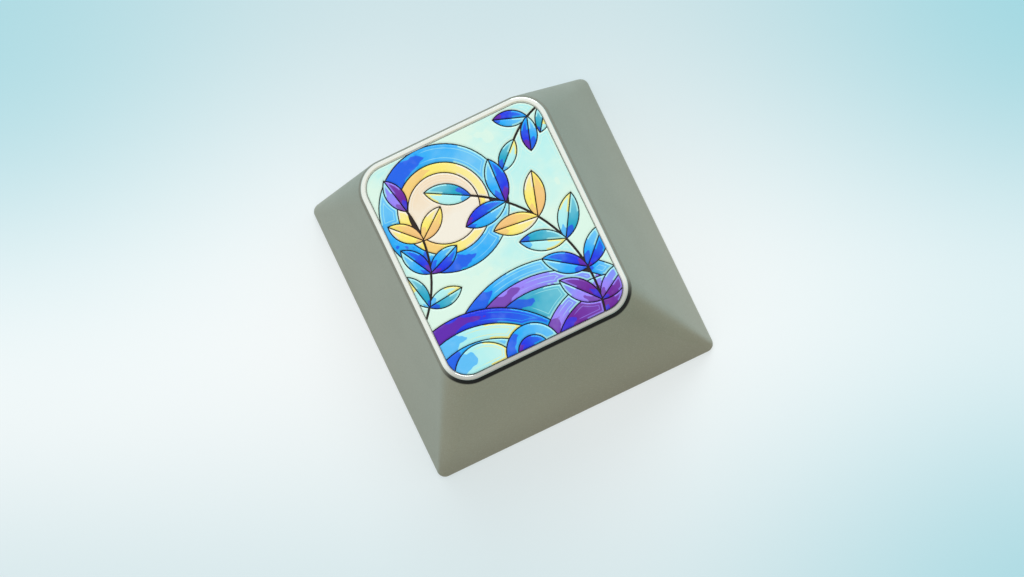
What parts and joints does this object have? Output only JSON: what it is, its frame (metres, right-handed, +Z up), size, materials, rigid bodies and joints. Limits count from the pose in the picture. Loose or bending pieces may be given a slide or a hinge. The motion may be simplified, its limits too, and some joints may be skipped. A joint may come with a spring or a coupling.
{
  "type": "artisan keycap",
  "caption": "One-unit metal keycap: a hollow tapered die-cast cap with a bright inlaid badge plate on top and a cross-socket stem insert below.",
  "frame": {"origin": "centre of the square foot, on the surface that the cap stands on; the stem axis passes through it", "axes": "+Z up along the stem axis, +X to the typist's right, +Y away from the typist"},
  "size_m": [0.0182, 0.0182, 0.0096],
  "materials": {
    "cast_zinc": "matte",
    "polished_nickel": "polished",
    "stem_plastic": "satin",
    "ivory": "gloss",
    "mint": "gloss",
    "pale_aqua": "gloss",
    "turquoise": "gloss",
    "sky_blue": "gloss",
    "cobalt": "gloss",
    "lilac": "gloss",
    "violet": "gloss",
    "yellow": "gloss",
    "apricot": "gloss"
  },
  "bodies": {
    "root": {"cap_body": "cast_zinc", "badge_plate": "polished_nickel", "stem_insert": "stem_plastic", "enamel_ivory": "ivory", "enamel_mint": "mint", "enamel_pale_aqua": "pale_aqua", "enamel_turquoise": "turquoise", "enamel_sky_blue": "sky_blue", "enamel_cobalt": "cobalt", "enamel_lilac": "lilac", "enamel_violet": "violet", "enamel_yellow": "yellow", "enamel_apricot": "apricot"}
  },
  "joints": []
}
